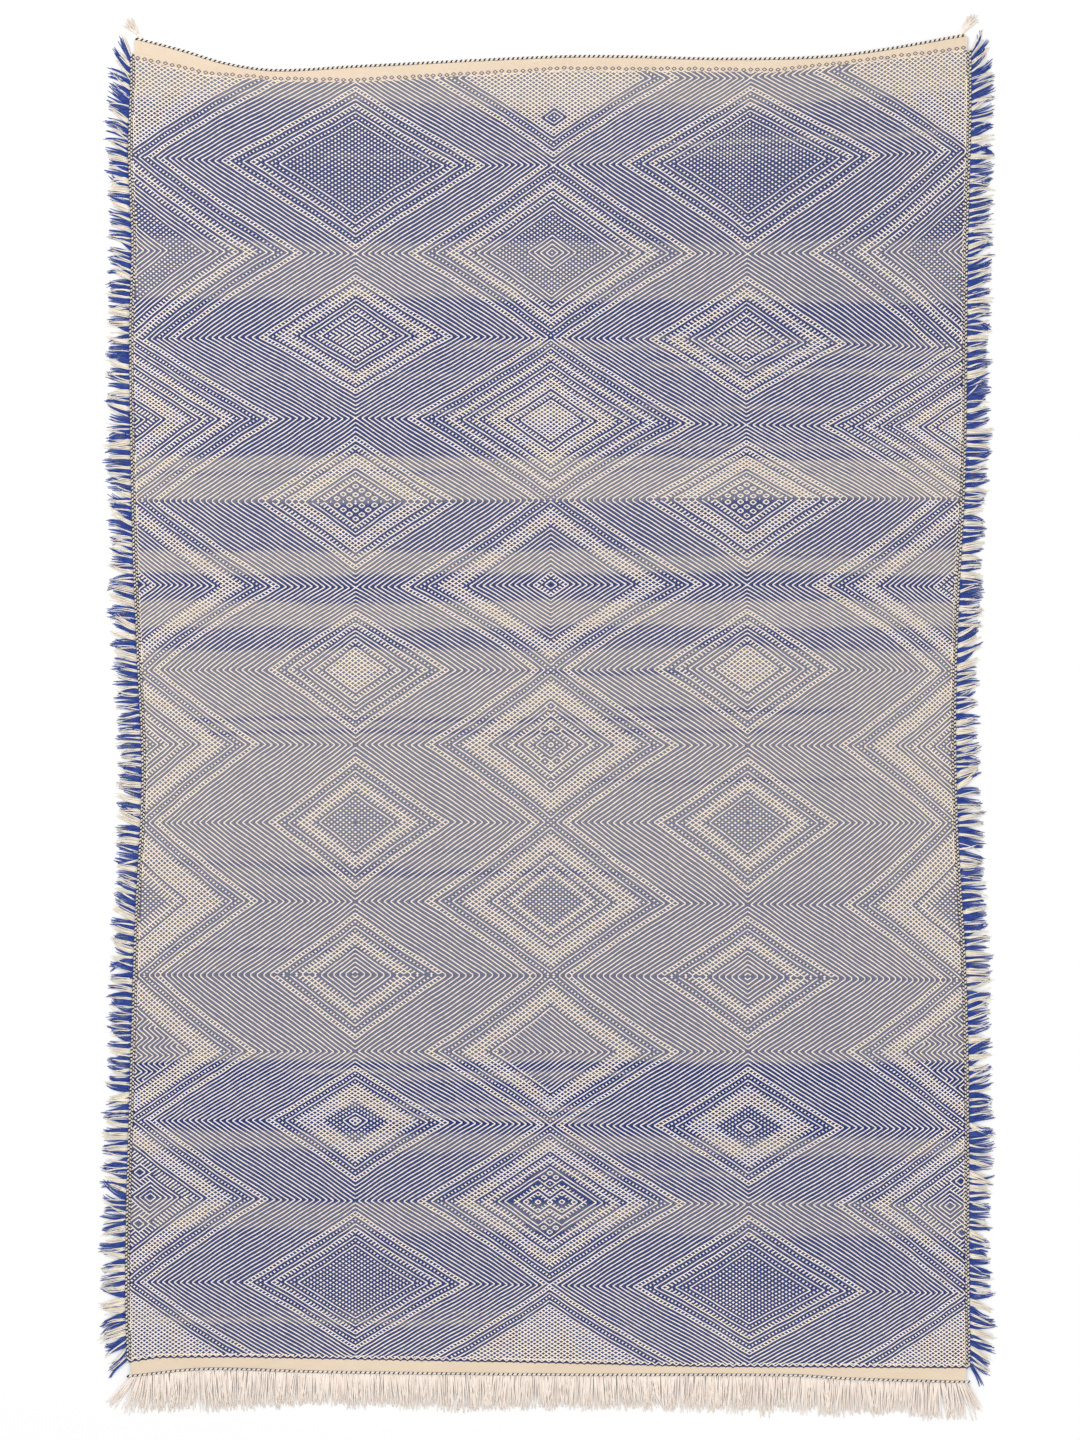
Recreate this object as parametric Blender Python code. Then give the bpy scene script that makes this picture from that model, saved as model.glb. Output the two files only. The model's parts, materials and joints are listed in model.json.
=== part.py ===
"""Moroccan flatwoven kilim lying flat on the floor.

One patterned cloth with a plain heading woven at each end, a twined cord along both headings, a
twined selvedge down both sides, cut weft fringe on the sides, warp fringe on one end and a knotted
yarn tassel on each corner of the other end.

Metres. X runs across the rug, Y along it towards the end with the tassels, Z up from the floor.
"""

import math
import random

import bpy
from mathutils import Vector

# Cloth
CLOTH_THICK = 0.003
HALF_WIDTH = 0.748  # middle line to the outer side of a selvedge, where the rug is widest
HEADING_DEPTH = 0.022  # plain weave at each end, without its twined cord
CLEARANCE = 0.0003  # between neighbouring pieces
EDGE_STEP = 0.030  # spacing of the points along an edge

# Twined cords and selvedges: flattened cords as high as the yarns that cross in them
CORD_WIDTH = 0.005
SELVEDGE_WIDTH = 0.008
CORD_HEIGHT = 0.0034

# Fringes: each is a narrow strip that the locks grow from
STRIP_WIDTH = 0.003
FRINGE_THICK = 0.0026
SIDE_LOCKS = 108
END_LOCKS = 72
SIDE_LENGTH = 0.040
END_LENGTH = 0.062
SHORTEST, LONGEST = 0.84, 1.10  # a lock's length as a share of its fringe's
ROOT_FILL = 0.74  # share of a lock's pitch that its root takes
TIP_FILL = 0.50  # the same at its tip
BEND = 0.3  # share of a lock's lean that its inner half lacks and its outer half adds
# Leans away from the middle at each end of a fringe, and how fast they die away along it
SIDE_FAN = (math.radians(48), math.radians(58), 0.020)
END_FAN = (math.radians(34), math.radians(24), 0.016)
SIDE_SWAY = math.radians(4)
END_SWAY = math.radians(2)
SLOW_WAVES, QUICK_WAVES = 6.5, 15.4  # sways along a whole fringe
QUICK_SHARE = 0.6

# Corner tassels: a flat neck, and strands that fan out from it
TASSEL_STRANDS = 5
TASSEL_LENGTH = 0.034
TASSEL_NECK = 0.010
TASSEL_WIDTH = 0.0044
TASSEL_SPREAD = math.radians(38)
TASSEL_LEAN = math.radians(40)
STRAND_ROOT_FILL = 0.9
STRAND_TIP_FILL = 2.6

# How far each side is drawn in from HALF_WIDTH: (along the rug, drawn in)
LEFT_DRAW_IN = (
    (-1.154, 0.004),
    (-1.030, 0.000),
    (-0.850, 0.002),
    (-0.680, 0.007),
    (-0.360, 0.017),
    (-0.106, 0.029),
    (0.120, 0.020),
    (0.300, 0.013),
    (0.670, 0.007),
    (0.840, 0.011),
    (1.000, 0.005),
    (1.160, 0.011),
)
RIGHT_DRAW_IN = (
    (-1.170, 0.000),
    (-1.040, 0.003),
    (-0.600, 0.005),
    (-0.410, 0.011),
    (-0.210, 0.023),
    (0.004, 0.027),
    (0.220, 0.021),
    (0.440, 0.010),
    (0.830, 0.006),
    (1.080, 0.000),
    (1.190, 0.002),
)
# Outer side of the twined cord on each heading: (across the rug, along the rug)
TASSEL_END = (
    (-0.728, 1.202),
    (-0.647, 1.181),
    (-0.571, 1.158),
    (-0.484, 1.146),
    (-0.339, 1.153),
    (0.018, 1.170),
    (0.148, 1.170),
    (0.311, 1.166),
    (0.490, 1.170),
    (0.608, 1.185),
    (0.733, 1.208),
)
FRINGE_END = (
    (-0.743, -1.168),
    (-0.608, -1.155),
    (-0.407, -1.160),
    (0.021, -1.165),
    (0.428, -1.166),
    (0.529, -1.172),
    (0.737, -1.178),
)

# Base colour and roughness of each yarn
YARNS = {
    "weave": ((0.47, 0.47, 0.56, 1.0), 0.90),
    "ivory": ((0.83, 0.75, 0.64, 1.0), 0.92),
    "twined": ((0.45, 0.44, 0.47, 1.0), 0.90),
    "side_fringe": ((0.20, 0.26, 0.55, 1.0), 0.92),
}


def smooth(table, at):
    """Height at a place on the smooth curve through a table's rows, level beyond its ends."""
    places = [row[0] for row in table]
    heights = [row[1] for row in table]
    if at <= places[0]:
        return heights[0]
    if at >= places[-1]:
        return heights[-1]
    last = len(table) - 1
    i = max(k for k in range(last) if places[k] <= at)

    def slope(k):
        low, high = max(k - 1, 0), min(k + 1, last)
        return (heights[high] - heights[low]) / (places[high] - places[low])

    span = places[i + 1] - places[i]
    t = (at - places[i]) / span
    near = (1 + 2 * t) * (1 - t) ** 2 * heights[i] + t * (1 - t) ** 2 * span * slope(i)
    far = t * t * (3 - 2 * t) * heights[i + 1] - t * t * (1 - t) * span * slope(i + 1)
    return near + far


def side_x(side, y):
    """Outer side of the selvedge: side is -1 for the left and 1 for the right."""
    draw_in = LEFT_DRAW_IN if side < 0 else RIGHT_DRAW_IN
    return side * (HALF_WIDTH - smooth(draw_in, y))


def cloth_x(side, y):
    """Edge of the cloth beside the selvedge."""
    return side_x(side, y) - side * (SELVEDGE_WIDTH + CLEARANCE)


def end_y(end, x):
    """Outer side of the twined cord: end is -1 for the fringe end and 1 for the tassel end."""
    return smooth(FRINGE_END if end < 0 else TASSEL_END, x)


def cloth_y(end, x):
    """Edge of the cloth beside the twined cord."""
    return end_y(end, x) - end * (CORD_WIDTH + CLEARANCE)


def spaced(start, stop):
    """Places from start to stop, about EDGE_STEP apart, both included."""
    count = max(1, round(abs(stop - start) / EDGE_STEP))
    return [start + (stop - start) * k / count for k in range(count + 1)]


def field_end(end, side):
    """Where the patterned field meets a heading at one side, and the selvedge ends."""
    return cloth_y(end, side * HALF_WIDTH) - end * HEADING_DEPTH


def material(name):
    colour, roughness = YARNS[name]
    made = bpy.data.materials.new(name)
    made.use_nodes = True
    made.diffuse_color = colour
    shader = made.node_tree.nodes["Principled BSDF"]
    shader.inputs["Base Color"].default_value = colour
    shader.inputs["Roughness"].default_value = roughness
    shader.inputs["Metallic"].default_value = 0.0
    return made


def add(name, data, yarn, collection):
    """Puts data in the collection as a piece that wears a yarn."""
    data.materials.append(yarn)
    piece = bpy.data.objects.new(name, data)
    collection.objects.link(piece)
    return piece


def spline_through(curve, points, cyclic):
    spline = curve.splines.new("POLY")
    spline.points.add(len(points) - 1)
    for place, point in zip(spline.points, points):
        place.co = (point[0], point[1], 0.0, 1.0)
    spline.use_cyclic_u = cyclic


def flat_piece(name, outline, thick, yarn, collection):
    """A flat outline of an even thickness that rests on the floor."""
    curve = bpy.data.curves.new(name, "CURVE")
    curve.dimensions = "2D"
    curve.fill_mode = "BOTH"
    curve.extrude = thick / 2
    spline_through(curve, outline, cyclic=True)
    piece = add(name, curve, yarn, collection)
    piece.location.z = thick / 2
    return piece


def oval(name, width, height, helpers):
    """The cross-section of a flattened cord: an eight-sided oval."""
    curve = bpy.data.curves.new(name, "CURVE")
    curve.dimensions = "2D"
    corners = 8
    turns = [-2 * math.pi * (k + 0.5) / corners for k in range(corners)]
    reach = math.cos(math.pi / corners)  # from the middle to a flat, for a corner at 1
    points = [(width / 2 * math.cos(a) / reach, height / 2 * math.sin(a) / reach) for a in turns]
    spline_through(curve, points, cyclic=True)
    section = bpy.data.objects.new(name, curve)
    section.hide_render = True
    section.display_type = "WIRE"
    helpers.objects.link(section)
    return section


def cord(name, line, section, yarn, collection):
    """A flattened cord along a line on the floor."""
    curve = bpy.data.curves.new(name, "CURVE")
    curve.dimensions = "2D"
    curve.bevel_mode = "OBJECT"
    curve.bevel_object = section
    curve.use_fill_caps = True
    spline_through(curve, line, cyclic=False)
    piece = add(name, curve, yarn, collection)
    piece.location.z = CORD_HEIGHT / 2
    return piece


def field_ys(side):
    """Places up one side of the patterned field."""
    return spaced(field_end(-1, side), field_end(1, side))


def cloth_side(side):
    """One side of the cloth, from the fringe end to the tassel end.

    The fringe end's heading is as wide as the selvedges, which stop above it.
    """
    start = field_end(-1, side) - CLEARANCE
    heading = [(side_x(side, start), cloth_y(-1, side_x(side, start))), (side_x(side, start), start)]
    corner = cloth_x(side, field_end(1, side))
    field = [(cloth_x(side, y), y) for y in (start, *field_ys(side))]
    return [*heading, *field, (corner, cloth_y(1, corner))]


def cloth_outline():
    """The cloth's edge, anticlockwise from the right end of the fringe end."""
    left, right = cloth_side(-1), cloth_side(1)
    tassel_end = [(x, cloth_y(1, x)) for x in spaced(right[-1][0], left[-1][0])[1:-1]]
    fringe_end = [(x, cloth_y(-1, x)) for x in spaced(left[0][0], right[0][0])[1:-1]]
    return [*right, *tassel_end, *reversed(left), *fringe_end]


def selvedge_line(side):
    return [(side_x(side, y) - side * SELVEDGE_WIDTH / 2, y) for y in field_ys(side)]


def heading_cord_line(end):
    level = field_end(end, -1)
    edge_x = side_x if end < 0 else cloth_x
    xs = spaced(edge_x(-1, level), edge_x(1, level))
    return [(x, end_y(end, x) - end * CORD_WIDTH / 2) for x in xs]


def lean_along(fan, sway, phase):
    """A function of the share along a fringe: how far its lock leans towards the far end."""
    fan_start, fan_stop, reach = fan

    def lean(share):
        slow = math.sin(math.tau * SLOW_WAVES * share + phase)
        quick = math.sin(math.tau * QUICK_WAVES * share + 2 * phase)
        fanned = fan_stop * math.exp((share - 1) / reach) - fan_start * math.exp(-share / reach)
        return fanned + sway * (slow + QUICK_SHARE * quick)

    return lean


def lock_corners(foot, along, outward, reach, angle):
    """A tapering lock, bent half way out: its three corners on the near side, then the far side."""
    ways = [outward * math.cos(a) + along * math.sin(a) for a in (angle * (1 - BEND), angle * (1 + BEND))]
    elbow = foot + ways[0] * reach / 2
    tip = elbow + ways[1] * reach / 2
    pitch = along.length
    root_half = pitch * ROOT_FILL / 2
    tip_half = pitch * TIP_FILL / 2 * math.cos(angle)
    elbow_half = (root_half + tip_half) / 2 * math.cos(angle)
    sides = [along.normalized() * root_half]
    for way, half in zip(ways, (elbow_half, tip_half)):
        across = along - way * along.dot(way) / way.length_squared
        sides.append(across.normalized() * half)
    places = (foot, elbow, tip)
    near = [place - across for place, across in zip(places, sides)]
    far = [place + across for place, across in zip(places, sides)]
    return near + far[::-1]


def fringe_outline(root, outward, locks, length, lean, rng):
    """A strip along root, and the locks on its outer side.

    root gives a point on the strip's inner side for a share from 0 to 1 of the way along.
    """
    outline = [root(0) + outward * STRIP_WIDTH]
    for k in range(locks):
        along = root((k + 1) / locks) - root(k / locks)
        share = (k + 0.5) / locks
        foot = root(share) + outward * STRIP_WIDTH
        reach = length * rng.uniform(SHORTEST, LONGEST)
        outline += lock_corners(foot, along, outward, reach, lean(share))
    outline.append(root(1) + outward * STRIP_WIDTH)
    return outline + [root(k / locks) for k in range(locks, -1, -1)]


def side_fringe_outline(side, rng):
    start, stop = field_end(-1, side), field_end(1, side)

    def root(share):
        y = start + (stop - start) * share
        return Vector((side_x(side, y) + side * CLEARANCE, y))

    lean = lean_along(SIDE_FAN, SIDE_SWAY, rng.uniform(0, math.tau))
    return fringe_outline(root, Vector((side, 0)), SIDE_LOCKS, SIDE_LENGTH, lean, rng)


def end_fringe_outline(rng):
    level = field_end(-1, -1)
    start, stop = side_x(-1, level), side_x(1, level)

    def root(share):
        x = start + (stop - start) * share
        return Vector((x, end_y(-1, x) - CLEARANCE))

    lean = lean_along(END_FAN, END_SWAY, rng.uniform(0, math.tau))
    return fringe_outline(root, Vector((0, -1)), END_LOCKS, END_LENGTH, lean, rng)


def tassel_outline(side, rng):
    """A flat neck that starts on the twined cord's outer side, and strands that fan out from it."""
    axis = Vector((side * math.sin(TASSEL_LEAN), math.cos(TASSEL_LEAN)))
    across = Vector((axis.y, -axis.x))
    foot_half = TASSEL_WIDTH / 2 / math.cos(TASSEL_LEAN)
    middle = cloth_x(side, field_end(1, side)) - side * foot_half
    foot = [Vector((x, end_y(1, x) + CLEARANCE)) for x in (middle + foot_half, middle - foot_half)]
    neck = (foot[0] + foot[1]) / 2 + axis * TASSEL_NECK
    outline = foot
    pitch = TASSEL_WIDTH / TASSEL_STRANDS
    for k in range(TASSEL_STRANDS):
        share = (k + 0.5) / TASSEL_STRANDS - 0.5
        turn = share * TASSEL_SPREAD
        way = axis * math.cos(turn) + across * math.sin(turn)
        root_side = across * pitch * STRAND_ROOT_FILL / 2
        tip_side = Vector((way.y, -way.x)) * pitch * STRAND_TIP_FILL / 2
        start = neck + across * share * TASSEL_WIDTH
        tip = start + way * TASSEL_LENGTH * rng.uniform(SHORTEST, LONGEST)
        outline += [start - root_side, tip - tip_side, tip + tip_side, start + root_side]
    return outline


def clear_scene():
    for old in list(bpy.data.objects):
        bpy.data.objects.remove(old)


def centre_on_floor(pieces, parent):
    """Moves the parent so that the middle of all the pieces lies over the origin."""
    bpy.context.view_layer.update()
    corners = [p.matrix_world @ Vector(c) for p in pieces for c in p.bound_box]
    for axis in (0, 1):
        places = [c[axis] for c in corners]
        parent.location[axis] = -(min(places) + max(places)) / 2


def build():
    clear_scene()
    rug = bpy.data.collections.new("moroccan_kilim")
    helpers = bpy.data.collections.new("sections")
    for made in (rug, helpers):
        bpy.context.scene.collection.children.link(made)
    yarn = {name: material(name) for name in YARNS}
    rng = random.Random(4)

    pieces = [flat_piece("kilim_cloth", cloth_outline(), CLOTH_THICK, yarn["weave"], rug)]
    cord_section = oval("cord_section", CORD_WIDTH, CORD_HEIGHT, helpers)
    for name, end in (("twined_cord_tassel_end", 1), ("twined_cord_fringe_end", -1)):
        pieces.append(cord(name, heading_cord_line(end), cord_section, yarn["twined"], rug))
    selvedge_section = oval("selvedge_section", SELVEDGE_WIDTH, CORD_HEIGHT, helpers)
    for name, side in (("left", -1), ("right", 1)):
        line = selvedge_line(side)
        pieces.append(cord(f"selvedge_{name}", line, selvedge_section, yarn["twined"], rug))
        outline = side_fringe_outline(side, rng)
        fringe = flat_piece(f"side_fringe_{name}", outline, FRINGE_THICK, yarn["side_fringe"], rug)
        outline = tassel_outline(side, rng)
        tassel = flat_piece(f"corner_tassel_{name}", outline, FRINGE_THICK, yarn["ivory"], rug)
        pieces += [fringe, tassel]
    outline = end_fringe_outline(rng)
    pieces.append(flat_piece("warp_fringe", outline, FRINGE_THICK, yarn["ivory"], rug))

    frame = bpy.data.objects.new("rug_frame", None)
    rug.objects.link(frame)
    for piece in pieces:
        piece.parent = frame
    centre_on_floor(pieces, frame)


build()
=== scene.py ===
"""Looks of a flat-woven Moroccan kilim, laid on a pale floor. Every length is in metres."""

import json

import bpy
import numpy as np
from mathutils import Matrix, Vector

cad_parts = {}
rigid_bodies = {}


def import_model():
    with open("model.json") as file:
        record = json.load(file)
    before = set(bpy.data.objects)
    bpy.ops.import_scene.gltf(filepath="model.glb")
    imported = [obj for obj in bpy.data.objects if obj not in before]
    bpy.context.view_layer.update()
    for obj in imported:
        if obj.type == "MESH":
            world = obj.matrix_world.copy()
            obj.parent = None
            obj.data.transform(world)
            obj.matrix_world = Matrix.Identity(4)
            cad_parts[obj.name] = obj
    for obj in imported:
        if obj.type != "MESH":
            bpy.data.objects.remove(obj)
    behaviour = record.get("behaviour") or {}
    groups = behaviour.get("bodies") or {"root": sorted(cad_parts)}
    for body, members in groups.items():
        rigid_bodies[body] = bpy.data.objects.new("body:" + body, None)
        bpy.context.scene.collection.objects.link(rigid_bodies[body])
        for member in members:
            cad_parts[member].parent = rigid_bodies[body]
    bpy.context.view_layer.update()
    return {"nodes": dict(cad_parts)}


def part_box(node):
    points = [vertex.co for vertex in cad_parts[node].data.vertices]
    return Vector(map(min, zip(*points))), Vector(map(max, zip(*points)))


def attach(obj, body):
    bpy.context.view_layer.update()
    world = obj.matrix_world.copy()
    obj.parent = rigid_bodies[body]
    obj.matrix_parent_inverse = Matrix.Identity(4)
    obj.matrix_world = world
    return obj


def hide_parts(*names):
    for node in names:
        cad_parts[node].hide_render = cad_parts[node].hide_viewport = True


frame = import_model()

bl_info = {
    "name": "Moroccan Kilim",
    "version": (1, 0, 0),
    "blender": (4, 5, 0),
    "location": "View3D > Sidebar > Kilim",
    "description": "Weaves the patterned cloth, cords, fringes and tassels of a kilim",
    "category": "Add Mesh",
}

MM = 0.001
SEED = 7
CLOTH_THICK = 0.0024  # the woven ground, under its threads
TROUGH_RISE, RIPPLE_RISE = 0.0007, 0.0011  # of its broad waves and of its soft edge ripples
WANDER = (0.00045, 0.00030)  # how far the lines of knots stray along the rug, slowly and quickly
FOOT = 0.00002  # how far a thread's eaves stand over the ground
WEFT, WARP = 0.0021, 0.0052  # pitch of the ribs of a plain weave
PATTERN_PIECES = 4  # stretches of the rug that the pattern threads are shared out between
TINY = 1e-6  # keeps whole counts from rounding down

# ---------------------------------------------------------------- thread count

# Pitch of the knots across the rug: (place, pitch), both in mm
PITCH_ACROSS = (
    (-790, 9.6), (-690, 10.3), (-510, 12.6), (-340, 11.2), (-200, 12.7), (0, 10.5),
    (210, 12.8), (340, 11.1), (500, 12.0), (670, 9.4), (790, 9.6),
)
# Pitch of the knots along the rug, from the tassel end: (distance down, pitch), in mm
PITCH_DOWN = (
    (-1320, 7.6), (-150, 7.2), (-110, 8.3), (300, 8.6), (530, 8.0), (670, 7.4), (1320, 6.9),
)
# Middle lines of the five columns of lozenges: (distance down, then across for each), in mm
COLUMN_LINES = (
    (-1125, -710, -340, 12, 358, 705),
    (-675, -686, -340, 5, 350, 695),
    (50, -665, -340, 5, 353, 672),
    (460, -670, -341, 5, 353, 689),
    (1140, -684, -340, 2, 356, 701),
)
COLUMN_STEP = 30  # knots from one column of lozenges to the next
SIDE_AXES = (-6, 126)  # the side columns' lozenges are cut in half near the two long edges
ROW_PLACES = (-735, -340, 5, 354, 715)  # where across the rug a row's distances are taken, in mm

# Rows of lozenges from the tassel end. A row's columns are: which columns its lozenges
# stand in (1 odd, 2 even), knots down from the row before, offset of its first knots,
# distance down at the five places in mm, the bands from a lozenge's middle outward, then the
# bands of the half lozenges at the two sides, and at the right one alone, where they differ:
#   - a ring drawn as a line      # a line with cross threads out to the next ring
#   . a ring of separate knots    | knots with cross threads out to the next ring
#   z threads slanting one way    o small joined squares      a space: no knots
ROWS = (
    (1, 0, 0.00, (-1300, -1281, -1281, -1281, -1310), ""),
    (2, 20, 0.00, (-1146, -1129, -1129, -1129, -1156), "##############--.-#-",
     "######################--.-#-"),
    (1, 21, 0.00, (-990, -973, -976, -980, -1000), "...........-.-|--.#-"),
    (2, 20, 0.00, (-825, -819, -821, -819, -823), ".----.....---|-##.-.-#-",
     "---------.....----|-##.--.-#-", "--------.....----|-##.--.-#-"),
    (1, 19.5, 0.50, (-667, -675, -670, -666, -652), "||||.#.--|##.#-"),
    (2, 20.5, 0.00, (-526, -528, -525, -516, -512), "#####-|-###.#.-|#.-.-#-",
     "----|.-####.-#.-##.--.-#-", "######-|--###.-.-|#.-|.-#-"),
    (1, 19.25, 0.25, (-383, -380, -383, -386, -386), ".oooo#.-###-|-#-"),
    (2, 19.25, 0.00, (-234, -229, -234, -234, -230), " -|-----------|###.-.-#-",
     "  -|-----------|###.-.-#-", "  -|.|----------|###.-.-##-"),
    (1, 20, 0.00, (-83, -83, -83, -86, -81), "#####-|---|-.#-"),
    (2, 16.5, 0.50, (48, 49, 49, 50, 52), "-.-|--#.--####.-.-#-",
     "--.-|--#.--####.-.-#-", "---.-|--#.--####.-.-#-"),
    (1, 16.5, 0.00, (187, 186, 186, 187, 187), " .....-|##.-.#-"),
    (2, 16.5, 0.50, (325, 326, 326, 331, 334), ".....|#.|-|###.-.-#-",
     ".....||#.######.-.-#-", "......||#.######.-.-#-"),
    (1, 16.25, 0.75, (456, 455, 457, 459, 465), "------|##.-.#-"),
    (2, 16.25, 0.50, (591, 591, 592, 591, 593), "zzzzzzzzz-|###.-.-#-",
     "zzzzzzzzz-|####.-.-#-", "zzzzzzzzzzz-|###.-.-#-"),
    (1, 17.5, 0.00, (713, 713, 721, 724, 728), "#--..|####.-.#-"),
    (2, 18.5, 0.50, (848, 855, 857, 861, 864), "        -|#.###.-.-#-",
     "---------||.-####.-.-#-", "----------||-.-###.-.-#-"),
    (1, 19.5, 0.00, (999, 999, 1004, 1011, 1018), ".........-.-|--.#-"),
    (2, 20, 0.00, (1140, 1140, 1142, 1147, 1156), "###############--.-#-",
     "##################--.-#-"),
    (1, 20, 0.00, (1280, 1280, 1282, 1287, 1298), ""),
)
# Small motifs inside some lozenges: row, place along a side's two slants, bands outward, and
# 0 for the middle column, 1 for the left side, 2 for the right side
MOTIFS = (
    (1, 9.5, -9.5, ".--", 0),
    (9, 4.5, -2.5, ".-", 0),
    (9, 5.0, -5.0, "-", 0),
    (9, 8.5, -8.5, ".-", 0),
    (15, 2.0, 2.0, "-|-#.-", 0),
    (15, 4.5, -4.5, ".-", 0),
    (15, 7.0, -5.0, "-", 0),
    (15, 7.0, -7.0, "-", 0),
    (15, 3.5, 3.5, "-----", 1),
    (15, 7.5, -4.5, "---", 1),
    (15, 4.5, 4.5, "-----", 2),
    (15, 8.5, -3.5, "---", 2),
)
# Stripes where the weaver took up dark yarn of another dye lot: (distance down in mm, paleness
# from there on), 0 indigo to 1 faded
DYE_LOTS = (
    (-1300, 1.0), (-1080, 0.4), (-1060, 0.2), (-840, 0.7), (-740, 0.1), (-460, 1.0),
    (-380, 0.2), (-295, 1.0), (-255, 0.1), (-205, 1.0), (-160, 0.2), (-120, 1.0),
    (300, 0.8), (610, 0.0), (740, 0.6), (770, 0.1), (860, 0.6), (910, 0.1),
)
DYE_RUNS = 40  # short runs of yarn of a middle tone, which don't cross the whole rug
# Where the pattern meets each plain heading: (across, along), in mm
TASSEL_BORDER = (
    (-750, 1176), (-600, 1143), (-480, 1134), (-350, 1131), (30, 1152), (410, 1149), (750, 1189),
)
FRINGE_BORDER = (
    (-750, -1140), (-690, -1131), (-545, -1130), (0, -1140), (280, -1147), (750, -1149),
)
BEAD_STRIP = 0.0095  # width of the pale strip under the row of beads at the tassel end


def table(rows):
    """A table of millimetres as columns of metres."""
    return np.array(rows, float).T * MM


def running_count(rows):
    """Knots passed up to each place: the running sum of distance over the pitch there."""
    place, pitch = table(rows)
    fine = np.linspace(place[0], place[-1], 4001)
    rate = 1 / np.interp(fine, place, pitch)
    steps = np.diff(fine) * (rate[1:] + rate[:-1]) / 2
    return fine, np.concatenate([[0.0], np.cumsum(steps)])


ACROSS_PLACE, ACROSS_COUNT = running_count(PITCH_ACROSS)
DOWN_PLACE, DOWN_COUNT = running_count(PITCH_DOWN)
ROW_SET = np.array([row[0] for row in ROWS])
ROW_KNOT = np.cumsum([row[1] for row in ROWS])
ROW_OFFSET = np.array([row[2] for row in ROWS])
ROW_DOWN = np.array([row[3] for row in ROWS]) * MM


def beside_places(x):
    """Which two of the five places lie on either side of each x, and the share of the second."""
    places = np.array(ROW_PLACES) * MM
    at = np.interp(x, places, np.arange(len(places)))
    first = np.clip(np.floor(at), 0, len(places) - 2).astype(int)
    return first, at - first


def woven_place(across, down):
    """Where a knot lies, from its count across and down the rug.

    Each count is shared out between the two nearest middle lines of lozenges, and then
    turned into a distance by the running count, so the lines bend as the weaver's did."""
    across, down = np.broadcast_arrays(np.asarray(across, float), np.asarray(down, float))
    row = np.clip(np.searchsorted(ROW_KNOT, down, "right") - 1, 0, len(ROWS) - 2)
    share = (down - ROW_KNOT[row]) / (ROW_KNOT[row + 1] - ROW_KNOT[row])
    rough = ROW_DOWN[row, 1] * (1 - share) + ROW_DOWN[row + 1, 1] * share
    lines = table(COLUMN_LINES)
    column = np.clip(np.floor(across / COLUMN_STEP), 0, len(lines) - 3).astype(int)
    counts = np.stack([
        np.interp(np.interp(rough, lines[0], line), ACROSS_PLACE, ACROSS_COUNT)
        for line in lines[1:]
    ])
    here = np.take_along_axis(counts, column[None], 0)[0]
    there = np.take_along_axis(counts, column[None] + 1, 0)[0]
    part = across / COLUMN_STEP - column
    x = np.interp(here * (1 - part) + there * part, ACROSS_COUNT, ACROSS_PLACE)
    knots = np.interp(ROW_DOWN, DOWN_PLACE, DOWN_COUNT)
    above, part = beside_places(x)

    def row_count(r):
        return knots[r, above] * (1 - part) + knots[r, above + 1] * part

    y = -np.interp(row_count(row) * (1 - share) + row_count(row + 1) * share, DOWN_COUNT, DOWN_PLACE)
    y += WANDER[0] * np.sin(0.62 * across + 1.7 * np.sin(0.09 * down))
    y += WANDER[1] * np.sin(1.37 * across - 0.21 * down)
    return x, y


# ---------------------------------------------------------------- cloth outline and lie


def cloth_edges():
    """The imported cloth's four edges, each as sorted points: left and right as (along, across),
    the tassel and fringe ends as (across, along)."""
    mesh = frame["nodes"]["kilim_cloth"].data
    found = np.empty(len(mesh.vertices) * 3)
    mesh.vertices.foreach_get("co", found)
    points = np.unique(found.reshape(-1, 3)[:, :2].round(5), axis=0)
    x, y = points.T
    near_corner, near_end = 0.72, 1.12
    edges = []
    for side in (-1, 1):
        chosen = points[(x * side > 0.6) & (np.abs(y) < near_end)]
        edges.append(chosen[np.argsort(chosen[:, 1])][:, ::-1].T)
    for end in (1, -1):
        chosen = [points[(np.abs(x) < near_corner) & (y * end > near_end)]]
        for side in (-1, 1):
            corner = points[x * side > near_corner]
            chosen.append(corner[[np.argmax(corner[:, 1] * end)]])
        chosen = np.concatenate(chosen)
        edges.append(chosen[np.argsort(chosen[:, 0])].T)
    return edges


LEFT_EDGE, RIGHT_EDGE, TASSEL_EDGE, FRINGE_EDGE = cloth_edges()


def edge(points, at):
    """The edge's place at a distance along it, straight between its points."""
    return np.interp(at, points[0], points[1])


def lie(x, y):
    """Height of the cloth's upper side: its thickness, plus broad low waves of unlike lengths,
    plus soft ripples that fade inward from the two long sides and from the two ends."""
    waves = (
        0.5 + 0.5 * np.sin(5.1 * x + 2.3 * y + 0.6) * np.sin(3.7 * y - 1.9 * x + 1.1)
        + 0.35 * np.sin(9.3 * y + 4.2 * x) * np.cos(6.1 * x - 2.0)
    )
    left = np.exp(-(x - edge(LEFT_EDGE, y)) / 0.07)
    right = np.exp(-(edge(RIGHT_EDGE, y) - x) / 0.07)
    ripples = (0.5 + 0.5 * np.sin(31 * y + 1.2 * np.sin(7 * y))) * left
    ripples = ripples + (0.5 + 0.5 * np.sin(27 * y + 2.0 * np.sin(5 * y) + 2)) * right
    ends = np.exp(-(edge(TASSEL_EDGE, x) - y) / 0.05) + np.exp(-(y - edge(FRINGE_EDGE, x)) / 0.05)
    ripples = ripples + 0.7 * (0.5 + 0.5 * np.sin(24 * x + 1.5 * np.sin(9 * x))) * ends
    return CLOTH_THICK + TROUGH_RISE * np.maximum(waves, 0) + RIPPLE_RISE * ripples


# ---------------------------------------------------------------- mesh building


def clear(blocks, name):
    """Removes what an earlier run left under this name."""
    old = blocks.get(name)
    if old is not None:
        blocks.remove(old)


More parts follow.
